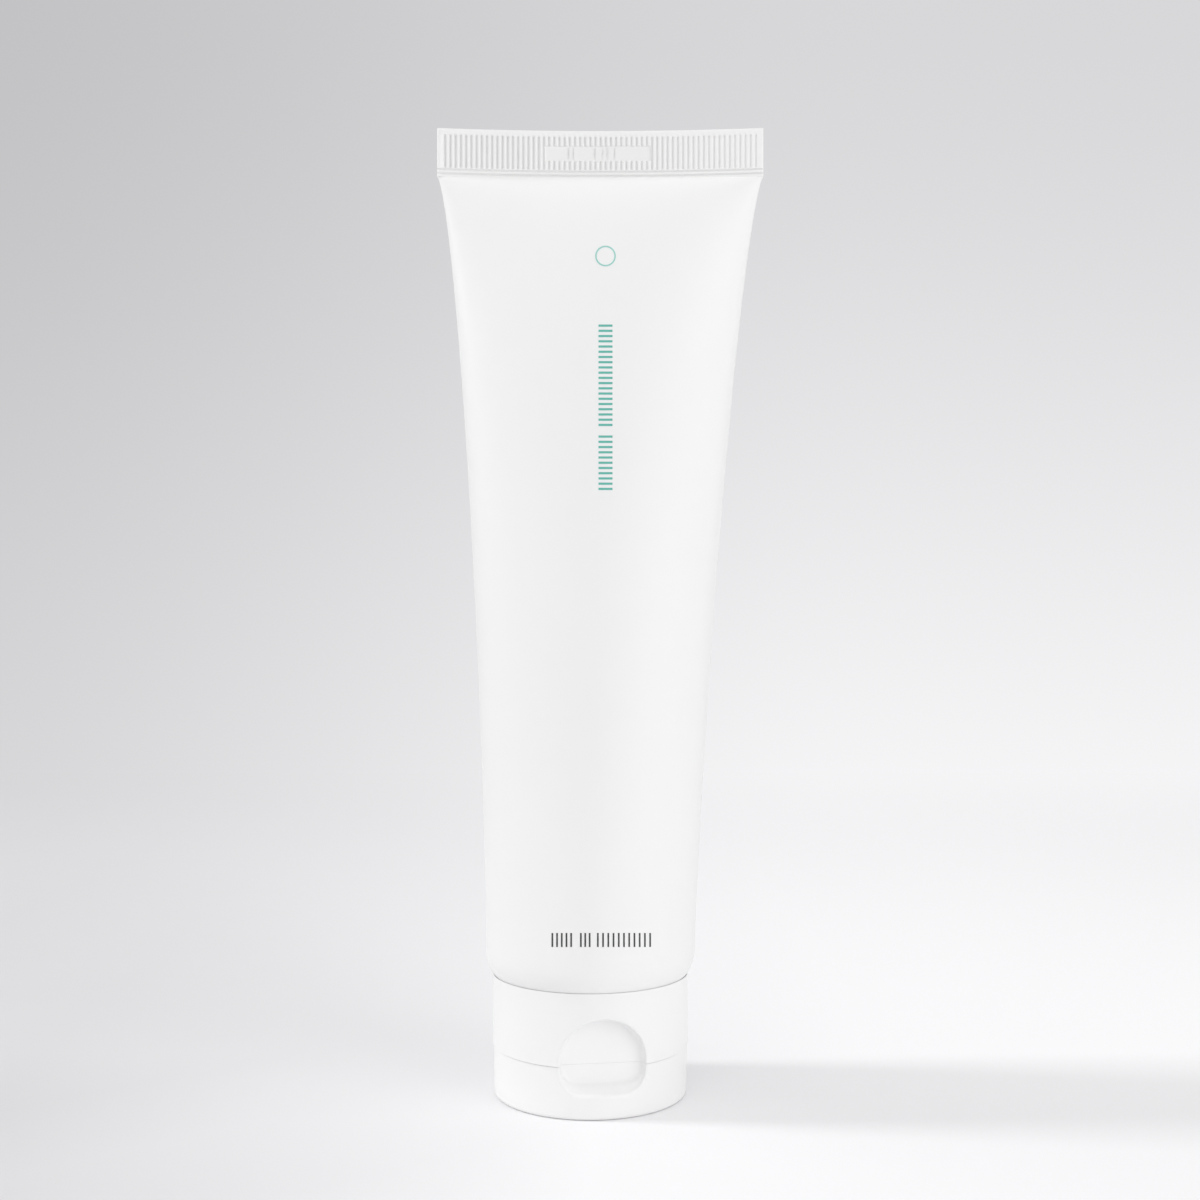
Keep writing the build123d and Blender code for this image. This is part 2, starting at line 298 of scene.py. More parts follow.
class Piece:
    """A finished mesh on its way into the scene."""

    def __init__(self, name: str) -> None:
        """Start an empty piece.

        Args:
            name: the piece's name in the scene.
        """
        self.name = name
        self.mesh = bmesh.new()

    def grid(self, columns: int, rows: int, place: Callable[[int, int], Vector]) -> list[BMVert]:
        """Add a grid and put each of its corners in place.

        Args:
            columns: number of faces across.
            rows: number of faces up.
            place: gives the place of the corner at a column and a row.

        Returns:
            The grid's vertices.
        """
        made = bmesh.ops.create_grid(self.mesh, x_segments=columns, y_segments=rows, size=1.0)["verts"]
        for vertex in made:
            column, row = (round((at + 1) / 2 * count) for at, count in zip(vertex.co, (columns, rows)))
            vertex.co = place(column, row)
        return made

    def add(self, other: "Piece") -> None:
        """Move another piece's mesh into this one.

        Args:
            other: the piece that is used up.
        """
        data = bpy.data.meshes.new("part")
        other.mesh.to_mesh(data)
        other.mesh.free()
        self.mesh.from_mesh(data)
        bpy.data.meshes.remove(data)

    def rims(self, *heights: float, tolerance: float = 1e-3) -> list[BMEdge]:
        """Edges that bound only one face.

        Args:
            heights: levels that the edges have to lie on, or none for all of them.
            tolerance: how far an edge's ends may lie from such a level.

        Returns:
            The edges.
        """
        edges = [edge for edge in self.mesh.edges if edge.is_boundary]
        if not heights:
            return edges
        return [
            edge for edge in edges
            if any(all(abs(end.co.z - height) < tolerance for end in edge.verts) for height in heights)
        ]

    def extend(self, edges: list[BMEdge], place: Callable[[BMVert], Vector]) -> list[BMEdge]:
        """Extrude open edges once.

        Args:
            edges: the edges.
            place: gives the place of a new vertex, which starts at its old one's.

        Returns:
            The new outer edges.
        """
        old = {vertex for edge in edges for vertex in edge.verts}
        made = bmesh.ops.extrude_edge_only(self.mesh, edges=edges)["geom"]
        fresh = {item for item in made if isinstance(item, BMVert)} - old
        for vertex in fresh:
            vertex.co = place(vertex)
        return [item for item in made if isinstance(item, BMEdge) and set(item.verts) <= fresh]

    def rings(self, edges: list[BMEdge], profile: Profile) -> list[BMEdge]:
        """Extrude a closed loop about the axis through the points of a profile.

        Args:
            edges: the loop.
            profile: the next rings' radii and heights.

        Returns:
            The last ring's edges.
        """
        for radius, height in profile:
            edges = self.extend(edges, partial(on_ring, radius=radius, height=height))
        return edges

    def fill(self, edges: list[BMEdge]) -> None:
        """Fill flat closed loops, and keep the holes between them open."""
        bmesh.ops.triangle_fill(self.mesh, edges=edges, use_beauty=True, use_dissolve=False, normal=(0, 0, 1))

    def merge(self) -> None:
        """Join vertices that lie in one place."""
        bmesh.ops.remove_doubles(self.mesh, verts=self.mesh.verts, dist=MERGE)

    def face_outwards(self) -> None:
        """Turn all faces outwards."""
        bmesh.ops.recalc_face_normals(self.mesh, faces=self.mesh.faces)

    def close_up(self) -> None:
        """Join the seams of what was built and turn its faces outwards."""
        self.merge()
        bmesh.ops.dissolve_degenerate(self.mesh, edges=self.mesh.edges, dist=MERGE / 10)
        self.face_outwards()

    def note(self, name: str, value: Callable[[BMVert], float]) -> None:
        """Give every vertex a number that the material reads.

        Args:
            name: the attribute's name.
            value: gives a vertex's number.
        """
        layer = self.mesh.verts.layers.float.new(name)
        for vertex in self.mesh.verts:
            vertex[layer] = value(vertex)

    def as_object(self, material: bpy.types.Material) -> bpy.types.Object:
        """Turn the mesh, which is in metres by now, into a smooth object of the scene.

        Args:
            material: its finish.

        Returns:
            The new object.
        """
        for face in self.mesh.faces:
            face.smooth = True
        data = bpy.data.meshes.new(self.name)
        self.mesh.to_mesh(data)
        self.mesh.free()
        data.materials.append(material)
        made = bpy.data.objects.new(self.name, data)
        bpy.context.scene.collection.objects.link(made)
        return made

    def into_scene(
        self,
        material: bpy.types.Material,
        body: Body,
        slot: Optional[Slot] = None,
        replaces: Optional[str] = None,
        sharp_angle: float = 35.0,
    ) -> None:
        """Scale the mesh to metres and make it a scene object that rides on a body.

        Args:
            material: its finish.
            body: the body it moves with.
            slot: a material slot; not used.
            replaces: name of the node that it stands for.
            sharp_angle: edges that turn more than this many degrees stay sharp.
        """
        bmesh.ops.scale(self.mesh, vec=(MM, MM, MM), verts=self.mesh.verts)
        limit = math.radians(sharp_angle)
        for edge in self.mesh.edges:
            edge.smooth = not edge.is_manifold or edge.calc_face_angle(0.0) < limit
        piece = self.as_object(material)
        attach(piece, body.value)
        if replaces is not None:
            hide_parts(replaces)
        LOG.info("%s: %d faces, rides on %s", self.name, len(piece.data.polygons), body.value)


@dataclass
class TubeForm:
    """The sleeve's shape: round at the shoulder, and the same way round all the way to the flat crimp."""

    diameter: float = 38.0
    wall: float = 0.5
    shoulder_z: float = 25.9917
    body_length: float = 140.64
    shoulder_edge_radius: float = 6.6
    mouth_radius: float = 11.05
    flatten_start_share: float = 1.29
    flatten_end_share: float = 0.417
    bow_growth_share: float = 3.0
    crimp_lean: float = 1.8
    crimp_bow: float = 1.9
    halvings: int = 40

    @property
    def half_wall(self) -> float:
        """Half of the wall's thickness."""
        return self.wall / 2

    @property
    def middle_radius(self) -> float:
        """Radius of the wall's middle surface at the round end."""
        return self.diameter / 2 - self.half_wall

    @property
    def crimp_z(self) -> float:
        """Height at which the crimp starts."""
        return self.shoulder_z + self.body_length

    def perimeter(self, half_width: float, half_depth: float) -> float:
        """Perimeter of an ellipse by the usual close formula.

        Args:
            half_width: one half axis.
            half_depth: the other half axis.

        Returns:
            The perimeter.
        """
        total = half_width + half_depth
        share = ((half_width - half_depth) / total) ** 2
        return math.pi * total * (1 + 3 * share / (10 + math.sqrt(4 - 3 * share)))

    def half_width(self, half_depth: float) -> float:
        """Half width that keeps the round end's perimeter.

        Args:
            half_depth: half depth of the section's middle surface.

        Returns:
            The matching half width.
        """
        low, high = self.middle_radius, 2 * self.middle_radius
        for _ in range(self.halvings):
            middle = (low + high) / 2
            if self.perimeter(middle, half_depth) < math.tau * self.middle_radius:
                low = middle
            else:
                high = middle
        return low

    def half_depth(self, share: float) -> float:
        """Half depth of the middle surface at a share of the body's length."""
        closing = max(0.0, 1 - share**self.flatten_start_share) ** self.flatten_end_share
        return self.half_wall + (self.middle_radius - self.half_wall) * closing

    def bow(self, share: float, across: float) -> float:
        """How far the section is bowed back, at a share of the length and one of the half width."""
        return self.crimp_bow * share**self.bow_growth_share * (1 / 3 - across**2)

    def body_ring(self, share: float, offset: float) -> Ring:
        """Section of the body.

        Args:
            share: share of the body's length, from the shoulder to the crimp.
            offset: distance from the wall's middle surface, outwards.

        Returns:
            A function from the turn round the section to the point there.
        """
        half_depth = self.half_depth(share)
        half_width = self.half_width(half_depth)
        height = self.shoulder_z + self.body_length * share

        def point(turn: float) -> Vector:
            """Point of the section.

            Args:
                turn: turn round the section.

            Returns:
                The point.
            """
            across, deep = math.cos(turn), math.sin(turn)
            normal = Vector((half_depth * across, half_width * deep)).normalized()
            x = half_width * across + offset * normal.x
            y = half_depth * deep + offset * normal.y + self.bow(share, x / half_width)
            return Vector((x + self.crimp_lean * share, y, height))

        return point

    def shoulder_ring(self, bend: float, offset: float) -> Ring:
        """Circle of the rounded shoulder edge.

        Args:
            bend: angle round the edge, from 0 at the tube's side to a right angle at its floor.
            offset: distance from the wall's middle surface, outwards.

        Returns:
            A function from the turn round the circle to the point there.
        """
        arc = self.shoulder_edge_radius - self.half_wall + offset
        radius = self.diameter / 2 - self.shoulder_edge_radius + arc * math.cos(bend)
        return partial(on_circle, radius=radius, height=self.shoulder_z - arc * math.sin(bend))


@dataclass
class Sleeve:
    """The soft sleeve below the crimp, as one closed shell with its inside."""

    form: TubeForm = field(default_factory=TubeForm)
    segments: int = 216
    body_steps: int = 84
    crowding: float = 1.6
    inside_end_share: float = 0.9985
    shoulder_steps: int = 14

    def rings(self) -> list[Ring]:
        """All sections in order: up the outside, over the closed end, and down the inside.

        Returns:
            Section functions from the turn to a point.
        """
        form = self.form
        half_wall = form.half_wall
        floor = form.shoulder_z - form.shoulder_edge_radius
        mouth = partial(on_circle, radius=form.mouth_radius, height=floor)
        bends = quarter(self.shoulder_steps, 1)
        outside = [1 - (1 - step / self.body_steps) ** self.crowding for step in range(self.body_steps + 1)]
        inside = [share for share in outside if share < self.inside_end_share]
        return [
            mouth,
            *(form.shoulder_ring(bend, half_wall) for bend in reversed(bends)),
            *(form.body_ring(share, half_wall) for share in outside),
            *(form.body_ring(share, -half_wall) for share in reversed(inside)),
            *(form.shoulder_ring(bend, -half_wall) for bend in bends),
            partial(on_circle, radius=form.mouth_radius, height=floor + form.wall),
            mouth,
        ]

    def build(self) -> Piece:
        """Build the shell.

        Returns:
            The closed piece, still in millimetres.
        """
        piece = Piece("tube_sleeve_body")
        rings = self.rings()
        step = math.tau / self.segments
        piece.grid(self.segments, len(rings) - 1, lambda column, row: rings[row](step * column))
        piece.close_up()
        return piece


@dataclass
class Crimp:
    """The flat welded end: two press lines, a ribbed band with a bare panel, and a plain lip, with painted
    shade in the lines, grooves, panel and stamped marks.

    Distances across are from the crimp's centre, and heights are above its start. The rows of faces at
    each soft edge are in shares of its width.
    """

    form: TubeForm = field(default_factory=TubeForm)
    spread: float = -0.04
    edge: float = 0.3
    edge_columns: tuple[float, ...] = (0.0, 0.03, 0.09, 0.18)
    edge_share: float = 0.15
    foot: float = 0.08
    press_lines: Profile = ((0.33, 0.68), (1.08, 1.42))
    line_depth: float = 0.22
    line_ease: float = 0.18
    line_rows: tuple[float, ...] = (-0.5, -0.17, 0.17, 0.5)
    # Painted shade in the press lines.
    line_painted_shade: float = 0.8
    ribs: Pair = (1.62, 7.58)
    ribs_ease: float = 0.26
    ribs_rows: tuple[float, ...] = (-0.5, -0.25, 0.0, 0.25, 0.5)
    rib_pitch: float = 0.942
    rib_margin: float = 1.35
    groove_width: float = 0.34
    groove_ease: float = 0.22
    groove_depth: float = 0.34
    # Towards the right the grooves get shallower and their painted shade lighter.
    groove_and_shade_fading: float = 0.3
    panel_sides: Pair = (-10.11, 9.19)
    panel_heights: Pair = (3.2, 5.95)
    panel_ease: float = 0.14
    panel_rows: tuple[float, ...] = (-2.5, -1.5, -0.5, 0.0, 0.5, 1.5, 2.5)
    panel_depth: float = 0.2
    # Painted shade on the panel.
    panel_painted_shade: float = 0.25
    bars: tuple[float, ...] = (-6.05, -5.2, -1.25, 0.2, 0.95, 2.35)
    bar_width: float = 0.34
    bar_margin: float = 0.35
    bar_ease: float = 0.12
    bar_depth: float = 0.22
    # Painted shade in the stamped marks.
    bar_painted_shade: float = 1.5
    plain_levels: tuple[float, ...] = (2.4, 4.575, 6.6, 8.2)
    lip_top: float = 8.74
    lip_rounding: float = 0.14
    lip_steps: int = 4

    @cached_property
    def middle_half_width(self) -> float:
        """Half width of the crimp's middle surface."""
        return self.form.half_width(self.form.half_wall)

    @property
    def half_width(self) -> float:
        """Half of the crimp's width."""
        return self.middle_half_width + self.form.half_wall + self.spread

    @cached_property
    def grooves(self) -> list[float]:
        """Places of the grooves across the crimp."""
        count = math.floor((self.half_width - self.rib_margin) * 2 / self.rib_pitch)
        return [(index - count / 2) * self.rib_pitch for index in range(count + 1)]

    @property
    def groove_reach(self) -> Pair:
        """Half widths of a groove's mouth and of its floor."""
        return (self.groove_width + self.groove_ease) / 2, (self.groove_width - self.groove_ease) / 2

    def columns(self) -> list[float]:
        """Places across the crimp where its faces meet, closer at each groove's sides.

        Returns:
            Distances across, from left to right.
        """
        mouth, floor = self.groove_reach
        side = [mouth, (mouth * 2 + floor) / 3, (mouth + floor * 2) / 3, floor]
        across = [*(-reach for reach in side), 0.0, *reversed(side)]
        rim = [self.half_width - reach for reach in (*self.edge_columns, self.edge)]
        inner = [groove + reach for groove in self.grooves for reach in across]
        return [*(-reach for reach in rim), *inner, *reversed(rim)]

    def levels(self) -> list[Pair]:
        """Rings from the foot to the top of the lip.

        Returns:
            Heights, each with how far the faces are drawn in there.
        """
        spans = (
            (sum(self.press_lines, ()), self.line_ease, self.line_rows),
            (self.ribs, self.ribs_ease, self.ribs_rows),
            (self.panel_heights, self.panel_ease, self.panel_rows),
        )
        heights = [edge + ease * share for edges, ease, shares in spans for edge in edges for share in shares]
        levels = [(-self.foot, self.half_width), (-self.foot, 0.0)]
        levels += [(height, 0.0) for height in sorted([*heights, *self.plain_levels])]
        for bend in quarter(self.lip_steps):
            drop, drawn_in = (self.lip_rounding * (1 - part) for part in (math.sin(bend), math.cos(bend)))
            levels.append((self.lip_top - drop, drawn_in))
        return levels + [(self.lip_top, self.half_width)]

    def relief(self, across: float, height: float, front: bool) -> Pair:
        """How one face is pressed in at a place, and its painted shade there.

        Args:
            across: distance across.
            height: height of the place.
            front: whether it is the printed side, which has the panel.

        Returns:
            The depth below the plain face, and the painted shade there, from 0 to about 1.
        """
        line = max(pulse(height, *edges, self.line_ease) for edges in self.press_lines)
        groove = ramp(min(abs(across - groove) for groove in self.grooves), *self.groove_reach)
        groove *= pulse(height, *self.ribs, self.ribs_ease)
        # Fade the grooves' depth and their painted shade towards the right.
        groove *= 1 - self.groove_and_shade_fading * ramp(across, 0.0, self.half_width)
        depth = self.line_depth * line + self.groove_depth * groove
        # Painted shade follows the press lines and grooves.
        painted_shading = max(self.line_painted_shade * line, groove)
        if not front:
            return depth, painted_shading
        low, high = self.panel_heights
        panel = pulse(across, *self.panel_sides, self.panel_ease) * pulse(height, low, high, self.panel_ease)
        bar = max(pulse(across, place, place + self.bar_width, self.bar_ease) for place in self.bars)
        bar *= pulse(height, low + self.bar_margin, high - self.bar_margin, self.bar_ease)
        depth += (self.panel_depth + self.bar_depth * bar - depth) * panel
        # Painted shade on the panel and in its stamped marks.
        painted_shading += (max(self.panel_painted_shade, self.bar_painted_shade * bar) - painted_shading) * panel
        return depth, painted_shading

    def middle_y(self, across: float) -> float:
        """Y of the crimp's middle surface, at a distance across."""
        return self.form.bow(1.0, across / self.middle_half_width)

    def half_thickness(self, across: float) -> float:
        """Plain half thickness, thinner at the two folded edges.

        Args:
            across: distance across.

        Returns:
            The half thickness.
        """
        rim = min((self.half_width - abs(across)) / self.edge, 1.0)
        round_share = math.sqrt(max(0.0, 1 - (1 - rim) ** 2))
        return self.form.wall * (self.edge_share + (1 - self.edge_share) * round_share)

    def place(self, across: float, front: bool, height: float, drawn_in: float) -> Vector:
        """Place on the crimp's surface.

        Args:
            across: distance across.
            front: whether it is on the printed side.
            height: height of the place.
            drawn_in: how far the faces are drawn in there.

        Returns:
            The place.
        """
        thickness = self.half_thickness(across)
        depth, _ = self.relief(across, height, front)
        thickness -= depth * min(1.0, thickness / self.form.wall) ** 2
        side = -1 if front else 1
        y = self.middle_y(across) + side * max(0.0, thickness - drawn_in)
        return Vector((across + self.form.crimp_lean, y, self.form.crimp_z + height))

    def painted_shading(self, vertex: BMVert) -> float:
        """Painted shade of the crimp at one of its vertices.

        Args:
            vertex: the vertex.

        Returns:
            A number from 0 to about 1.
        """
        across = vertex.co.x - self.form.crimp_lean
        front = vertex.co.y < self.middle_y(across)
        return self.relief(across, vertex.co.z - self.form.crimp_z, front)[1]

    def build(self) -> Piece:
        """Build the crimp as one closed piece, with its painted shade at each vertex.

        Returns:
            The piece, still in millimetres.
        """
        piece = Piece("tube_crimp")
        columns = self.columns()
        around = [(across, True) for across in columns] + [(across, False) for across in reversed(columns)]
        around.append(around[0])
        levels = self.levels()
        piece.grid(
            len(around) - 1, len(levels) - 1, lambda column, row: self.place(*around[column], *levels[row])
        )
        piece.close_up()
        # Painted shade in the lines, grooves, panel and marks, as a vertex attribute.
        piece.note("painted_shading", self.painted_shading)
        return piece


@dataclass
class Notch:
    """Arched thumb recess that crosses the cap's parting line, as it is seen from the front."""

    half_width: float = 7.45
    arch_z: float = 9.9
    corner: float = 4.0
    ledge_z: float = 4.1
    ledge_rise: float = 1.4
    back: float = 14.15
    gap_closing: float = 0.078
    guard: float = 0.25
    corner_steps: int = 14
    arch_steps: int = 56
    ledge_steps: int = 8

    @property
    def corner_z(self) -> float:
        """Height of the centres of the lower corners."""
        return self.ledge_z + self.corner

    def arch(self, rim: float, reach: float) -> list[Vector]:
        """Outline of the arched half.

        Args:
            rim: height of the rim that it starts from.
            reach: half of its width.

        Returns:
            Points across and up, from left to right.
        """
        first = math.asin(max(0.0, rim - self.arch_z) / reach)
        span = math.pi - 2 * first
        turns = [math.pi - first - span * step / self.arch_steps for step in range(self.arch_steps + 1)]
        arch = [Vector((reach * math.cos(turn), self.arch_z + reach * math.sin(turn))) for turn in turns]
        ends = [Vector((side * reach, rim)) for side in (-1, 1)] if rim < self.arch_z else []
        return ends[:1] + arch + ends[1:]

    def bowl(self, rim: float, margin: float) -> list[Vector]:
        """Outline of the lower half, with its rounded corners.

        Args:
            rim: height of the rim that it starts from.
            margin: distance outside the recess.

        Returns:
            Points across and up, from left to right.
        """
        reach = self.half_width + margin
        radius = self.corner + margin
        centre = self.half_width - self.corner
        left = [Vector((-reach, rim)), Vector((-reach, (rim + self.corner_z) / 2))]
        for turn in quarter(self.corner_steps):
            across, down = radius * math.cos(turn), radius * math.sin(turn)
            left.append(Vector((-centre - across, self.corner_z - down)))
        shares = [2 * step / self.ledge_steps - 1 for step in range(1, self.ledge_steps)]
        ledge = [Vector((centre * share, self.corner_z - radius)) for share in shares]
        return left + ledge + [Vector((-point.x, point.y)) for point in reversed(left)]

    def nearest(self, place: Vector, upper: bool) -> tuple[Vector, Vector]:
        """Nearest point of the recess's outline.

        Args:
            place: a place across and up.
            upper: whether it lies on the arched half.

        Returns:
            The point, and the unit direction away from the recess there.
        """
        side = math.copysign(1.0, place.x)
        inner = self.half_width - self.corner
        if upper and place.y > self.arch_z:
            centre, radius = Vector((0.0, self.arch_z)), self.half_width
        elif upper or place.y >= self.corner_z:
            return Vector((side * self.half_width, place.y)), Vector((side, 0.0))
        elif abs(place.x) <= inner:
            return Vector((place.x, self.ledge_z)), Vector((0.0, -1.0))
        else:
            centre, radius = Vector((side * inner, self.corner_z)), self.corner
        away = (place - centre).normalized()
        return centre + away * radius, away

    def sunk(self, point: Vector, share: float, rim: float, upper: bool) -> Vector:
        """Shift a point of the outline with the recess's depth.

        Args:
            point: point of the outline at the cap's outside.
            share: share of the recess's depth.
            rim: height of the rim that the half starts from.
            upper: whether it lies on the arched half.

        Returns:
            The point at that depth: the ledge rises, and the parting line closes up.
        """
        if upper:
            near_rim = max(0.0, 1 - (point.y - rim))
            return Vector((point.x, point.y - self.gap_closing * share * near_rim))
        depth = rim - self.ledge_z
        return Vector((point.x, rim - (rim - point.y) * (depth - self.ledge_rise * share) / depth))


@dataclass(frozen=True)
class Skin:
    """One skin of a cap wall: how far inside the outer wall it lies, and its own rounded edges."""

    inset: float
    margin: float
    low: float
    high: float
    mouth_rounding: float
    back_rounding: float


@dataclass
class CapHalf:
    """One half of the flip-top cap: a round wall with its share of the thumb recess."""

    upper: bool = True
    foot_z: float = 9.1
    top_z: float = 21.92
    foot_radius: float = 17.73
    top_radius: float = 17.73
    turn: float = 8.3
    column_angle: float = 2.5
    row_height: float = 1.6
    hinge_flat: float = 17.2
    hinge_z: float = 9.05
    hinge_reach: float = 9.2
    flat_edge: float = 0.06
    groove_y: float = 16.85
    groove_half_length: float = 4.0
    groove_half_height: float = 0.3
    # Painted light in the recess: the depth over which it comes in, and its share on walls that don't face
    # left.
    painted_light_depth: float = 1.0
    painted_light_even: float = 0.4
    slack: float = 0.1
    notch: Notch = field(default_factory=Notch)

    def radius(self, height: float) -> float:
        """Outside radius at a height."""
        share = (height - self.foot_z) / (self.top_z - self.foot_z)
        return self.foot_radius + (self.top_radius - self.foot_radius) * share

    def rolled(self, skin: Skin) -> Piece:
        """Wall cut out flat, with the bite of the recess, and rolled up.

        Args:
            skin: which skin it is.

        Returns:
            The open wall.
        """
        piece = Piece("wall")
        mesh = piece.mesh
        radius = self.foot_radius - skin.inset
        end = math.pi * radius
        margin = skin.margin + skin.mouth_rounding + self.notch.guard
        if self.upper:
            rim, far = skin.low, skin.high
            bite = self.notch.arch(rim, self.notch.half_width + margin)
        else:
            rim, far = skin.high, skin.low
            bite = self.notch.bowl(rim, margin)
        turns = [math.asin(point.x / (self.radius(point.y) - skin.inset)) for point in bite]
        outline = [(-end, rim), *((turn * radius, point.y) for turn, point in zip(turns, bite))]
        outline += [(end, rim), (end, far), (-end, far)]
        mesh.faces.new([mesh.verts.new((x, 0.0, z)) for x, z in outline])
        columns = round(360 / self.column_angle)
        rows = math.ceil((skin.high - skin.low) / self.row_height)
        levels = [skin.low + (skin.high - skin.low) * index / rows for index in range(1, rows)]
        flat_end = self.hinge_z + self.hinge_reach
        levels += [level for level in (flat_end, flat_end + self.flat_edge) if skin.low < level < skin.high]
        cuts = [(Vector((1.0, 0.0, 0.0)), end * (2 * index / columns - 1)) for index in range(1, columns)]
        cuts += [(Vector((0.0, 0.0, 1.0)), level) for level in levels]
        for way, place in cuts:
            everything = [*mesh.verts, *mesh.edges, *mesh.faces]
            bmesh.ops.bisect_plane(mesh, geom=everything, dist=MERGE / 10, plane_co=way * place, plane_no=way)
        for vertex in mesh.verts:
            turn = vertex.co.x / radius - math.pi / 2
            vertex.co = on_circle(turn, self.radius(vertex.co.z) - skin.inset, vertex.co.z)
        piece.merge()
        return piece

    def wall(self, skin: Skin) -> Piece:
        """One finished skin of the wall, with the hinge's flat and the groove for its film.

        Args:
            skin: which skin it is.

        Returns:
            The skin, open at its rims.
        """
        piece = self.rolled(skin)
        Recess(self, skin, piece).sink()
        if skin.inset:
            return piece
        for vertex in piece.mesh.verts:
            from_hinge = abs(vertex.co.z - self.hinge_z)
            if from_hinge < self.hinge_reach + self.flat_edge / 2:
                vertex.co.y = min(vertex.co.y, self.hinge_flat)
            in_groove = from_hinge < self.groove_half_height and abs(vertex.co.x) < self.groove_half_length
            if in_groove and not self.upper:
                vertex.co.y = min(vertex.co.y, self.groove_y)
        return piece

    def painted_shading(self, vertex: BMVert) -> float:
        """Painted light in the recess, which lifts its shaded walls, most where they face left.

        Args:
            vertex: a vertex of the closed cap half.

        Returns:
            A number from 0 on the outer wall to 1.
        """
        place = vertex.co
        if abs(place.x) > self.notch.half_width + self.slack or place.y > self.slack - self.notch.back:
            return 0.0
        front = -math.sqrt(self.radius(place.z) ** 2 - place.x**2)
        facing = max(0.0, -vertex.normal.x)
        # More painted light where a wall faces left.
        return ramp(place.y, front, front + self.painted_light_depth) * (self.painted_light_even + (1 - self.painted_light_even) * facing)

    def turned_to_place(self, piece: Piece) -> Piece:
        """Join what was built and turn it to its place on the tube.

        Args:
            piece: the cap half, with its recess to the front.

        Returns:
            The same piece.
        """
        piece.close_up()
        piece.mesh.normal_update()
        # Painted light in the recess, as a vertex attribute.
        piece.note("painted_shading", self.painted_shading)
        turn = Matrix.Rotation(math.radians(self.turn), 3, "Z")
        bmesh.ops.rotate(piece.mesh, cent=(0, 0, 0), matrix=turn, verts=piece.mesh.verts)
        return piece


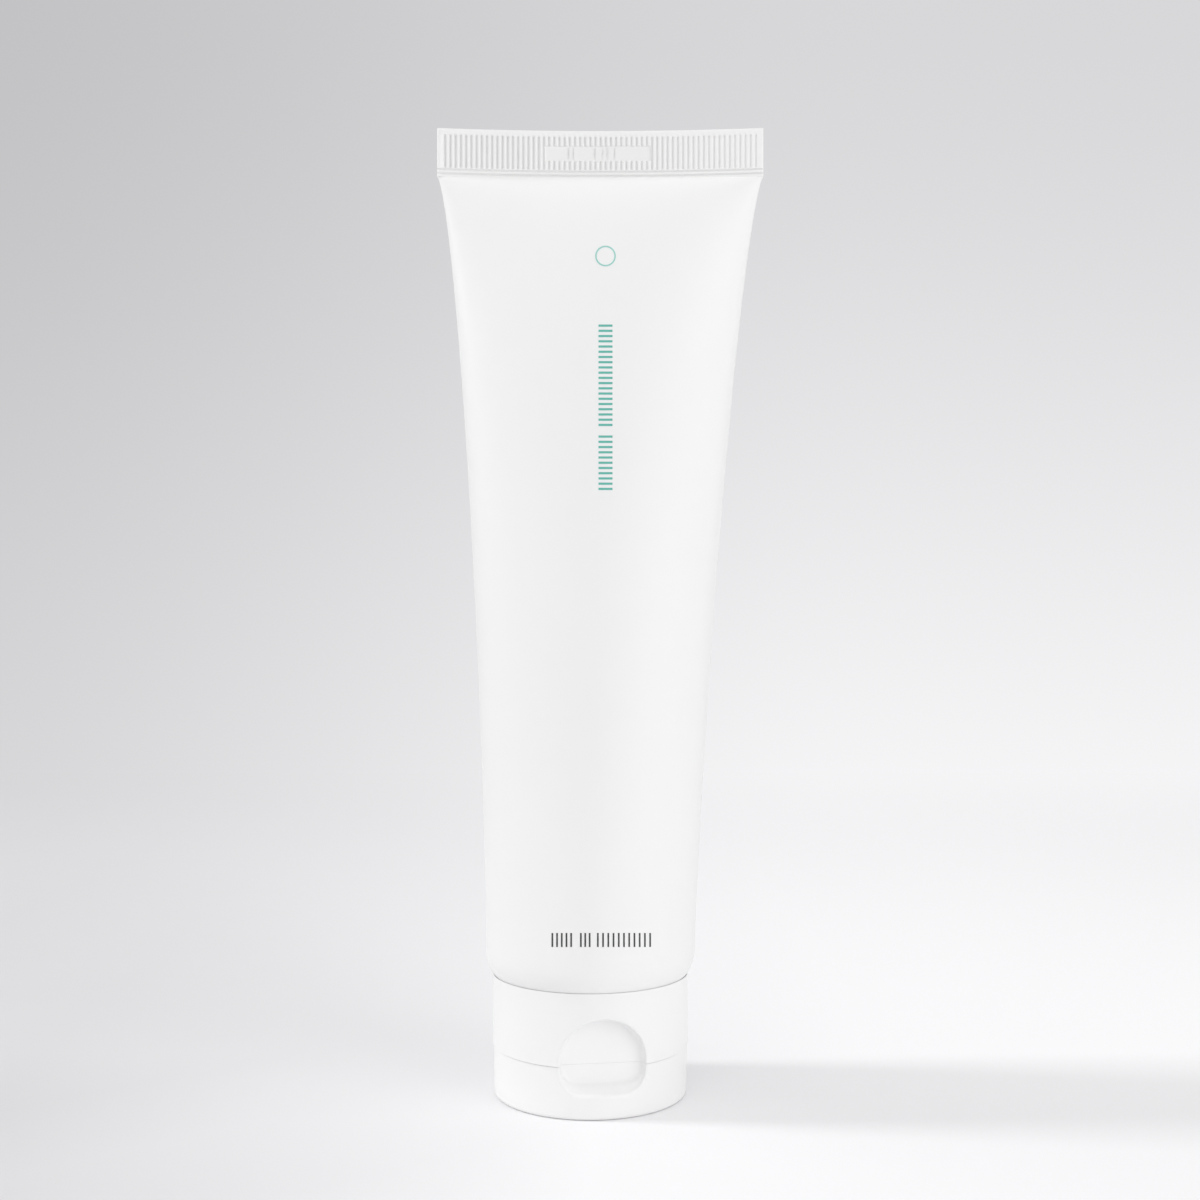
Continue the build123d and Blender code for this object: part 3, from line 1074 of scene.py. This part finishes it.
@dataclass
class Recess:
    """The thumb recess as it sinks into one skin of a cap half, from the bite in the wall to its back.

    Each vertex on the way keeps the outline's nearest point and the direction away from the recess.
    """

    half: CapHalf
    skin: Skin
    piece: Piece
    mouth_share: float = 0.25
    mouth_steps: int = 6
    side_steps: int = 3
    back_steps: int = 5

    @property
    def rim(self) -> float:
        """Height of the skin's edge on the parting line."""
        return self.skin.low if self.half.upper else self.skin.high

    @property
    def back(self) -> float:
        """Y of the recess's flat back."""
        return self.skin.margin - self.half.notch.back

    def kept(self, vertex: BMVert, name: str) -> Vector:
        """What a vertex keeps under a name, across and up."""
        return vertex[self.piece.mesh.verts.layers.float_vector[name]].xz

    def held(self, height: float, share: float) -> float:
        """Height that is kept on its own side of the parting line, whose gap closes up with the depth."""
        closing = self.half.notch.gap_closing * share
        return max(height, self.rim - closing) if self.half.upper else min(height, self.rim)

    def mouth(self, vertex: BMVert, offset: float, share: float, depth: float) -> Vector:
        """Place on the rounded mouth.

        Args:
            vertex: the vertex that is moved.
            offset: distance outside the recess.
            share: share of the recess's whole depth, for the shift of its outline.
            depth: depth below the skin.

        Returns:
            The place.
        """
        half = self.half
        place = half.notch.sunk(self.kept(vertex, "near"), share, self.rim, half.upper)
        place += self.kept(vertex, "away") * (self.skin.margin + offset)
        height = self.held(place.y, share)
        reach = half.radius(height) - self.skin.inset
        front = -math.sqrt(max(reach * reach - place.x * place.x, 0.0))
        return Vector((place.x, min(front + depth, self.back), height))

    def side(self, vertex: BMVert, share: float) -> Vector:
        """Place on the side wall.

        Args:
            vertex: the vertex that is moved.
            share: share of the way from the mouth to the back's rounded edge.

        Returns:
            The place.
        """
        start = self.mouth(vertex, 0.0, self.mouth_share, self.skin.mouth_rounding)
        end = self.mouth(vertex, 0.0, 1.0, 0.0)
        end.y = max(self.back - self.skin.back_rounding, start.y)
        return start.lerp(end, share)

    def curl(self, vertex: BMVert, bend: float, extra: float = 0.0) -> Vector:
        """Place on the back's rounded edge.

        Args:
            vertex: the vertex that is moved.
            bend: angle round the edge, from 0 on the side wall to a right angle on the back.
            extra: distance further in on the back.

        Returns:
            The place.
        """
        start = self.side(vertex, 1.0)
        inwards = self.kept(vertex, "away") * -(self.skin.back_rounding * (1 - math.cos(bend)) + extra)
        height = self.held(start.z + inwards.y, 1.0)
        return Vector((start.x + inwards.x, start.y + (self.back - start.y) * math.sin(bend), height))

    def bite(self) -> list[BMEdge]:
        """Find the edges of the bite, and have their vertices keep what they need.

        Returns:
            The edges.
        """
        level = set(self.piece.rims(self.skin.low, self.skin.high))
        edges = [edge for edge in self.piece.rims() if edge not in level]
        layers = self.piece.mesh.verts.layers.float_vector
        near, away = layers["near"], layers["away"]
        for vertex in {vertex for edge in edges for vertex in edge.verts}:
            point, out = self.half.notch.nearest(vertex.co.xz, self.half.upper)
            vertex[near] = (point.x, 0.0, point.y)
            vertex[away] = (out.x, 0.0, out.y)
        return edges

    def sink(self) -> None:
        """Carry the bite's edges in to the back, and close it."""
        mesh = self.piece.mesh
        layers = mesh.verts.layers.float_vector
        names = ("near", "away")
        for name in names:
            layers.new(name)
        edges = self.bite()
        rounding = self.skin.mouth_rounding
        places = [partial(self.mouth, offset=rounding, share=0.0, depth=0.0)]
        for step, bend in enumerate(quarter(self.mouth_steps, 1), 1):
            offset, depth = (rounding * (1 - part) for part in (math.sin(bend), math.cos(bend)))
            share = self.mouth_share * step / self.mouth_steps
            places.append(partial(self.mouth, offset=offset, share=share, depth=depth))
        places += [partial(self.side, share=step / self.side_steps) for step in range(1, self.side_steps + 1)]
        places += [partial(self.curl, bend=bend) for bend in quarter(self.back_steps, 1)]
        places.append(partial(self.curl, bend=math.pi / 2, extra=self.half.notch.guard))
        for place in places:
            edges = self.piece.extend(edges, place)
        ends = {vertex for edge in edges for vertex in edge.verts}
        ends = [vertex for vertex in ends if sum(edge in edges for edge in vertex.link_edges) == 1]
        bmesh.ops.contextual_create(mesh, geom=[*edges, mesh.edges.new(ends)])
        for name in names:
            layers.remove(layers[name])


@dataclass
class CapBase(CapHalf):
    """The half that stays on the tube: wall, deck with spout, socket, nest rim, webs and the hinge's film."""

    outer: Skin = Skin(0.0, 0.0, 9.1, 21.92, 0.45, 0.8)
    inner: Skin = Skin(1.3, 1.2, 10.4, 20.65, 0.3, 0.3)
    rim_slack: float = 0.09
    spout: Profile = (
        (3.8, 9.1), (3.62, 9.06), (3.5, 8.96), (3.4, 8.7), (3.17, 5.5), (3.11, 5.36), (2.98, 5.3), (2.45, 5.3),
        (2.34, 5.35), (2.3, 5.46), (2.3, 9.05), (2.36, 9.2), (3.84, 10.3), (3.9, 10.45), (3.9, 12.65),
        (3.94, 12.76), (4.05, 12.8), (4.65, 12.8), (4.76, 12.76), (4.8, 12.65), (4.8, 10.6), (4.86, 10.46),
        (5.0, 10.4), (7.45, 10.4), (7.6, 10.46), (7.65, 10.6), (7.65, 13.2), (8.05, 14.0), (8.05, 14.3),
        (7.65, 15.1), (7.65, 17.74), (8.25, 18.94), (8.75, 18.94), (8.85, 18.84), (8.85, 10.6), (8.91, 10.46),
        (9.05, 10.4),
    )
    nest: Profile = (
        (15.05, 9.3), (15.05, 8.62), (15.09, 8.54), (15.17, 8.5), (15.93, 8.5), (16.01, 8.54), (16.05, 8.62),
        (16.05, 9.3),
    )
    nest_start: float = 34.7
    web_count: int = 6
    web_size: Triple = (8.83, 1.0, 6.99)
    web_centre: Triple = (12.66, 0.0, 13.24)
    web_edge: float = 0.12
    film_radius: float = 0.3
    film_half_length: float = 3.8
    film_y: float = 17.3
    film_columns: int = 20
    film_end_steps: int = 4

    def deck(self, piece: Piece) -> None:
        """Close both skins with the deck, its spout and the socket, and bridge their upper rims.

        Args:
            piece: the base, so far with its two skins.
        """
        low_rim = piece.rims(self.outer.low, tolerance=self.rim_slack)
        deck_rim = piece.rims(self.inner.low, tolerance=self.rim_slack)
        radius, height = self.spout[0]
        made = bmesh.ops.create_circle(
            piece.mesh,
            radius=radius,
            segments=round(180 / self.column_angle),
            matrix=Matrix.Translation((0.0, 0.0, height)),
        )["verts"]
        first = list({edge for vertex in made for edge in vertex.link_edges})
        last = piece.rings(first, self.spout[1:])
        piece.fill(low_rim + first)
        piece.fill(deck_rim + last)
        bmesh.ops.bridge_loops(piece.mesh, edges=piece.rims(self.outer.high, self.inner.high))

    def nest_rim(self, piece: Piece) -> None:
        """Low rim on the deck that the closed lid nests on, open at the recess.

        Args:
            piece: the base.
        """
        start = math.radians(self.nest_start)
        span = math.tau - 2 * start
        steps = round(math.degrees(span) / self.column_angle)
        made = piece.grid(
            steps,
            len(self.nest) - 1,
            lambda column, row: on_circle(start + span * column / steps - math.pi / 2, *self.nest[row]),
        )
        edges = {edge for vertex in made for edge in vertex.link_edges if edge.is_boundary}
        bmesh.ops.holes_fill(piece.mesh, edges=list(edges), sides=0)

    def webs(self, piece: Piece) -> None:
        """Radial webs with eased edges between the socket and the wall.

        Args:
            piece: the base.
        """
        mesh = piece.mesh
        for index in range(self.web_count):
            made = bmesh.ops.create_cube(mesh, size=1.0)["verts"]
            turn = Matrix.Rotation(math.tau * index / self.web_count, 3, "Z")
            bmesh.ops.scale(mesh, vec=self.web_size, verts=made)
            bmesh.ops.translate(mesh, vec=self.web_centre, verts=made)
            bmesh.ops.rotate(mesh, cent=(0, 0, 0), matrix=turn, verts=made)
            edges = list({edge for vertex in made for edge in vertex.link_edges})
            bmesh.ops.bevel(
                mesh, geom=edges, offset=self.web_edge, segments=2, profile=0.5, affect="EDGES", material=-1
            )

    def film(self, piece: Piece) -> None:
        """Round bar of the hinge's film, with rounded ends.

        Args:
            piece: the base.
        """
        end = [(-self.film_half_length, 0.0)]
        for bend in quarter(self.film_end_steps, 1):
            inwards = self.film_radius * (1 - math.cos(bend))
            end.append((inwards - self.film_half_length, self.film_radius * math.sin(bend)))
        spots = end + [(-x, radius) for x, radius in reversed(end)]

        def place(column: int, row: int) -> Vector:
            """Place on the bar.

            Args:
                column: which of its sides.
                row: which of its rings.

            Returns:
                The place.
            """
            x, radius = spots[row]
            turn = math.tau * column / self.film_columns
            return Vector((x, self.film_y + radius * math.cos(turn), self.hinge_z + radius * math.sin(turn)))

        piece.grid(self.film_columns, len(spots) - 1, place)

    def build(self) -> Piece:
        """Build the base.

        Returns:
            The piece, still in millimetres.
        """
        piece = Piece("cap_base_moulding")
        for skin in (self.outer, self.inner):
            piece.add(self.wall(skin))
        for part in (self.deck, self.nest_rim, self.webs, self.film):
            part(piece)
        return self.turned_to_place(piece)


@dataclass
class CapLid(CapHalf):
    """The half that flips open: wall and standing plate with a rounded foot, and the sealing pin."""

    upper: bool = False
    foot_z: float = 0.0
    top_z: float = 9.0
    foot_radius: float = 17.45
    top_radius: float = 17.6
    foot_rounding: float = 0.7
    foot_steps: int = 5
    plate_margin: float = 0.4
    outer: Skin = Skin(0.0, 0.0, 0.7, 9.0, 0.45, 0.8)
    inner: Skin = Skin(1.2, 1.2, 1.6, 9.0, 0.3, 0.3)
    floor: Profile = (
        (16.2, 1.42), (16.12, 1.28), (16.0, 1.22), (15.85, 1.2), (2.25, 1.2), (2.05, 1.24), (1.92, 1.34),
        (1.86, 1.5), (1.85, 5.3), (1.67, 7.96), (1.62, 8.06), (1.52, 8.1), (1.12, 8.1), (1.03, 8.06),
        (1.0, 7.97), (1.0, 5.0), (0.94, 4.92), (0.8, 4.9),
    )

    def sole(self, vertex: BMVert, bend: float, extra: float = 0.0) -> Vector:
        """Place on the rounded foot, which follows the wall and the hinge's flat.

        Args:
            vertex: the vertex that is moved.
            bend: angle round the foot's edge, from 0 at the wall to a right angle at the plate.
            extra: distance further in on the plate.

        Returns:
            The place.
        """
        rounding = self.foot_rounding
        reach = self.radius(self.outer.low)
        rearwards = vertex.co.xy.normalized().y
        if rearwards > 0:
            reach = min(reach, self.hinge_flat / rearwards)
        return on_ring(vertex, reach - rounding * (1 - math.cos(bend)) - extra, rounding * (1 - math.sin(bend)))

    def build(self) -> Piece:
        """Build the lid.

        Returns:
            The piece, still in millimetres.
        """
        piece = Piece("cap_lid_moulding")
        for skin in (self.outer, self.inner):
            piece.add(self.wall(skin))
        piece.fill(piece.rims(self.outer.high))
        piece.fill(piece.rings(piece.rims(self.inner.low), self.floor))
        foot = piece.rims(self.outer.low)
        for bend in quarter(self.foot_steps, 1):
            foot = piece.extend(foot, partial(self.sole, bend=bend))
        piece.fill(piece.extend(foot, partial(self.sole, bend=math.pi / 2, extra=self.plate_margin)))
        return self.turned_to_place(piece)


@dataclass
class Photograph:
    """The camera of the photograph, and how its pixels and the scene match."""

    place: Triple = (1.75, -292.4, 89.6)
    lens: float = 48.0
    sensor: float = 36.0
    pixels: int = 1200
    clip: Pair = (0.01, 20.0)
    least_distance: float = 0.12

    def camera(self) -> None:
        """Make the camera and give it to the scene."""
        data = bpy.data.cameras.new("studio_camera")
        data.lens = self.lens
        data.sensor_width = self.sensor
        data.clip_start, data.clip_end = self.clip
        camera = bpy.data.objects.new("studio_camera", data)
        camera.location = Vector(self.place) * MM
        camera.rotation_euler = (math.pi / 2, 0.0, 0.0)
        bpy.context.scene.collection.objects.link(camera)
        bpy.context.scene.camera = camera

    def land(self, surface: BVHTree, across: float, down: float, proud: float) -> Vector:
        """Find where a pixel of the photograph lands.

        Args:
            surface: tree of the surface.
            across: pixels from the photograph's left edge.
            down: pixels from its top edge.
            proud: how far above the surface the point lies.

        Returns:
            The point.
        """
        focal = self.lens / self.sensor * self.pixels
        half = self.pixels / 2
        ray = Vector(((across - half) / focal, 1.0, (half - down) / focal)).normalized()
        point, _, _, _ = surface.ray_cast(Vector(self.place), ray)
        return point - ray * proud if point is not None else Vector(self.place)

    def seen(self, point: Vector) -> Pair:
        """Find where a point shows in the photograph.

        Args:
            point: a place, in metres.

        Returns:
            Shares of the photograph's width and height, from its left and from its top.
        """
        offset = point - Vector(self.place) * MM
        scale = self.lens / self.sensor / max(offset.y, self.least_distance)
        return 0.5 + scale * offset.x, 0.5 - scale * offset.z


@dataclass
class Print:
    """Plain generic marks where the real pack has its print: an outline ring, ticks and strokes.

    Their places and sizes are in the photograph's pixels.
    """

    photograph: Photograph
    surface: BVHTree
    proud: float = 0.02
    sink: float = 0.06
    ring_centre: Pair = (605.5, 256.0)
    ring_radius: float = 9.6
    ring_line: float = 1.5
    ring_steps: int = 64
    mark_steps: int = 4
    tick_sides: Pair = (598.5, 612.5)
    tick_groups: Groups = ((324.5, 426.0, 20), (435.5, 490.0, 11))
    tick_share: float = 0.42
    stroke_ends: Pair = (947.0, 933.0)
    stroke_width: float = 1.7
    stroke_groups: Groups = ((551.5, 572.0, 5), (580.0, 590.5, 3), (597.0, 651.0, 11))

    def mark(self, across: Pair, down: Pair) -> Piece:
        """One thin rectangle of ink that follows the sleeve.

        Args:
            across: its left and right edges.
            down: its lower and upper edges.

        Returns:
            The closed mark.
        """
        piece = Piece("mark")
        xs, ys = (
            [start + (end - start) * step / self.mark_steps for step in range(self.mark_steps + 1)]
            for start, end in (across, down)
        )
        for proud in (self.proud, -self.sink):
            land = partial(self.photograph.land, self.surface, proud=proud)
            piece.grid(self.mark_steps, self.mark_steps, lambda column, row: land(xs[column], ys[row]))
        piece.merge()
        bmesh.ops.bridge_loops(piece.mesh, edges=piece.rims())
        piece.face_outwards()
        return piece

    def ring(self) -> Piece:
        """The thin outline ring near the crimp.

        Returns:
            The piece.
        """
        piece = Piece("print_ring")
        half = self.ring_line / 2
        front = [(reach, self.proud) for reach in (-half, 0.0, half)]
        section = front + [(reach, -self.sink) for reach, _ in reversed(front)] + front[:1]

        def place(column: int, row: int) -> Vector:
            """Place on the ring.

            Args:
                column: step round the ring.
                row: corner of its section.

            Returns:
                The place.
            """
            reach, proud = section[row]
            turn = math.tau * column / self.ring_steps
            x = self.ring_centre[0] + (self.ring_radius + reach) * math.cos(turn)
            y = self.ring_centre[1] - (self.ring_radius + reach) * math.sin(turn)
            return self.photograph.land(self.surface, x, y, proud)

        piece.grid(self.ring_steps, len(section) - 1, place)
        piece.merge()
        piece.face_outwards()
        return piece

    def ticks(self) -> Piece:
        """The upright column of ticks, in two groups.

        Returns:
            The piece.
        """
        piece = Piece("print_ticks")
        for top, foot, count in self.tick_groups:
            pitch = (foot - top) / (count - 1 + self.tick_share)
            for index in range(count):
                start = top + index * pitch
                piece.add(self.mark(self.tick_sides, (start + pitch * self.tick_share, start)))
        return piece

    def strokes(self) -> Piece:
        """The row of short upright strokes near the shoulder.

        Returns:
            The piece.
        """
        piece = Piece("print_strokes")
        for left, right, count in self.stroke_groups:
            pitch = (right - left - self.stroke_width) / (count - 1)
            for index in range(count):
                start = left + index * pitch
                piece.add(self.mark((start, start + self.stroke_width), self.stroke_ends))
        return piece


@dataclass
class Moulding:
    """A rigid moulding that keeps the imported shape, with its seams merged."""

    node: str
    name: str

    def build(self) -> Piece:
        """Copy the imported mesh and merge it.

        Returns:
            The piece, in millimetres.
        """
        piece = Piece(self.name)
        piece.mesh.from_mesh(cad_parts[self.node].data)
        bmesh.ops.scale(piece.mesh, vec=(1 / MM, 1 / MM, 1 / MM), verts=piece.mesh.verts)
        piece.merge()
        piece.face_outwards()
        return piece


@dataclass(frozen=True)
class Lamp:
    """One soft rectangular lamp: its place, size and aim in metres, and its strength in watts."""

    name: str
    place: Triple
    size: Pair
    power: float
    aim: Triple = (0.0, 0.0, 0.09)

    def hang(self) -> None:
        """Put the lamp in the scene."""
        data = bpy.data.lights.new(self.name, "AREA")
        data.shape = "RECTANGLE"
        data.size, data.size_y = self.size
        data.energy = self.power
        lamp = bpy.data.objects.new(self.name, data)
        lamp.location = self.place
        lamp.rotation_euler = (Vector(self.aim) - Vector(self.place)).to_track_quat("-Z", "Y").to_euler()
        bpy.context.scene.collection.objects.link(lamp)


@dataclass
class Studio:
    """Seamless pale paper, a soft lamp from the left, weaker ones from the right and above, and a surround.

    Its sizes are in metres. The paper's tones are a painted light gradient of linear greys at the left
    and at the right of the photograph, with painted shade on the near floor, and the places where they
    change are shares of its width and height.
    """

    photograph: Photograph
    width: float = 4.4
    columns: int = 80
    floor_front: float = -1.6
    floor_steps: int = 60
    wall_start: float = 0.9
    wall_radius: float = 0.5
    wall_height: float = 1.9
    wall_steps: int = 16
    # Painted light gradient of the paper: greys at the top and at the foot, each at the left and the right, and
    # where they change.
    painted_light_top: Pair = (0.54, 0.685)
    painted_light_foot: Pair = (0.69, 0.945)
    painted_light_sides: Pair = (-0.12, 0.75)
    painted_light_heights: Pair = (-0.03, 0.85)
    near_sides: Pair = (0.0, 0.43)
    near_heights: Pair = (0.87, 0.92)
    # Painted shade on the near floor.
    near_painted_shade: float = 0.038
    # Colour of the painted light gradient where it is dark and where it is light.
    dark_tint: Triple = (0.985, 0.98, 1.018)
    light_tint: Triple = (1.002, 1.0, 1.012)
    floor_light: float = 0.995
    shadow_reach: Pair = (0.22, 0.55)
    surround: float = 0.82
    surround_colour: Triple = (1.0, 0.999, 0.996)
    lamps: tuple[Lamp, ...] = (
        Lamp("window_left", (-1.3, 0.06, 0.8), (0.24, 0.7), 7.45),
        Lamp("panel_right", (0.8, -0.75, 0.45), (0.7, 0.9), 2.6),
        Lamp("panel_above", (-0.2, -0.25, 1.3), (0.9, 0.9), 0.7),
    )

    def tone(self, vertex: BMVert) -> float:
        """Paper tone at a place: a painted light gradient, darker up and to the left as the lit paper is, with
        painted shade on the near floor.

        Args:
            vertex: a vertex of the paper.

        Returns:
            A linear grey.
        """
        across, down = self.photograph.seen(vertex.co)
        near = ramp(down, *self.near_heights)
        sides = (far + (close - far) * near for far, close in zip(self.painted_light_sides, self.near_sides))
        side = ramp(across, *sides)
        top, foot = (left + (right - left) * side for left, right in (self.painted_light_top, self.painted_light_foot))
        # Painted shade dims the near floor.
        return (top + (foot - top) * ramp(down, *self.painted_light_heights)) * (1 - self.near_painted_shade * near)

    def paper_finish(self) -> bpy.types.Material:
        """Paper coloured with the painted light gradient: nearby it is diffuse and takes the object's real
        shadow, and further back it shows the gradient as emission to camera and glossy rays.

        Returns:
            The material.
        """
        nodes = Nodes("seamless_paper")
        # Painted light gradient, bluer where it is darker.
        tone = nodes.attribute("tone")
        level = nodes.scaled(nodes.blend(tone, self.dark_tint, self.light_tint), tone)
        paper = nodes.add("BsdfDiffuse", nodes.scaled(level, 1 / self.floor_light))
        depth = nodes.add("SeparateXYZ", nodes.object_point()).outputs["Y"]
        far = nodes.add("MapRange", depth, *self.shadow_reach, interpolation_type="SMOOTHSTEP")
        path = nodes.add("LightPath").outputs
        seen = nodes.add("Math", path["Is Camera Ray"], path["Is Glossy Ray"], operation="MAXIMUM")
        share = nodes.add("Math", seen, far, operation="MULTIPLY")
        return nodes.finished(nodes.add("MixShader", share, paper, nodes.add("Emission", level)))

    def profile(self) -> list[Pair]:
        """The sweep's side view, from the front edge of the floor to the top of the backdrop.

        Returns:
            Distances from front to back, and heights.
        """
        run = (self.wall_start - self.floor_front) / self.floor_steps
        points = [(self.floor_front + run * step, 0.0) for step in range(self.floor_steps + 1)]
        for bend in quarter(self.wall_steps, 1):
            reach = self.wall_start + self.wall_radius * math.sin(bend)
            points.append((reach, self.wall_radius * (1 - math.cos(bend))))
        rise = (self.wall_height - self.wall_radius) / self.wall_steps
        back = self.wall_start + self.wall_radius
        return points + [(back, self.wall_radius + rise * step) for step in range(1, self.wall_steps + 1)]

    def paper(self) -> None:
        """Build the floor that sweeps up into the backdrop."""
        profile = self.profile()
        piece = Piece("paper_sweep")
        piece.grid(
            self.columns,
            len(profile) - 1,
            lambda column, row: Vector((self.width * (column / self.columns - 0.5), *profile[row])),
        )
        # Painted light gradient and near painted shade, as a vertex attribute.
        piece.note("tone", self.tone)
        sweep = piece.as_object(self.paper_finish())

    def world(self) -> None:
        """Even surround, a touch warm."""
        world = bpy.data.worlds.new("surround")
        world.use_nodes = True
        background = world.node_tree.nodes["Background"]
        background.inputs["Color"].default_value = (*self.surround_colour, 1.0)
        background.inputs["Strength"].default_value = self.surround
        bpy.context.scene.world = world

    def build(self) -> None:
        """Build the whole studio and show its tones as they are."""
        bpy.context.scene.view_settings.view_transform = "Standard"
        self.paper()
        self.world()
        for lamp in self.lamps:
            lamp.hang()


SLEEVE_PLASTIC = {
    "colour": (0.9, 0.898, 0.896),
    "shade": (0.89, 0.888, 0.887),
    "patch_size": 34.0,
    "roughness": (0.40, 0.50),
    "grain_size": 0.22,
    "grain_depth": 0.006,
}
FINISHES = {
    "sleeve": PlasticFinish("satin_white_sleeve", **SLEEVE_PLASTIC, subsurface=0.12),
    # Crimp: painted shade in its lines, grooves, panel and marks.
    "crimp": PlasticFinish("satin_white_crimp", **SLEEVE_PLASTIC, subsurface=0.05, painted_shading_strength=0.1),
    "cap": PlasticFinish(
        "moulded_white_cap", (0.9, 0.898, 0.897), (0.892, 0.89, 0.89), 12.0, (0.28, 0.36), 0.4, 0.003,
        # Below 0: painted light in the thumb recess.
        painted_shading_strength=-0.07,
    ),
    "head": PlasticFinish(
        "moulded_white_head", (0.86, 0.865, 0.87), (0.84, 0.845, 0.85), 9.0, (0.42, 0.55), 0.3, 0.006
    ),
    "paste": PlasticFinish(
        "pale_paste", (0.80, 0.90, 0.88), (0.76, 0.87, 0.85), 6.0, (0.22, 0.38), 0.8, 0.05, subsurface=0.3
    ),
}


def main() -> None:
    """Build every piece in order, then the studio, and note the sizes."""
    logging.basicConfig(level=logging.INFO, format="%(name)s: %(message)s")
    materials = {name: finish.make() for name, finish in FINISHES.items()}
    photograph = Photograph()
    photograph.camera()

    sleeve = Sleeve().build()
    surface = BVHTree.FromBMesh(sleeve.mesh)
    sleeve.into_scene(materials["sleeve"], Body.TUBE, Slot.SLEEVE, "tube_sleeve")
    Crimp().build().into_scene(materials["crimp"], Body.TUBE, Slot.SLEEVE, "tube_sleeve", 60.0)

    CapBase().build().into_scene(materials["cap"], Body.TUBE, Slot.CAP, "cap_base")
    CapLid().build().into_scene(materials["cap"], Body.LID, Slot.LID, "cap_lid")

    marks = Print(photograph, surface)
    marks.ring().into_scene(InkFinish(Ink.PALE_TEAL).make(), Body.TUBE)
    marks.ticks().into_scene(InkFinish(Ink.TEAL).make(), Body.TUBE)
    marks.strokes().into_scene(InkFinish(Ink.GREY).make(), Body.TUBE)

    head = Moulding("tube_head", "tube_head_moulding").build()
    head.into_scene(materials["head"], Body.TUBE, Slot.HEAD, "tube_head", 40.0)
    paste = Moulding("toothpaste", "paste_filling").build()
    paste.into_scene(materials["paste"], Body.TUBE, Slot.PASTE, "toothpaste", 40.0)

    Studio(photograph).build()


if __name__ == "__main__":
    main()
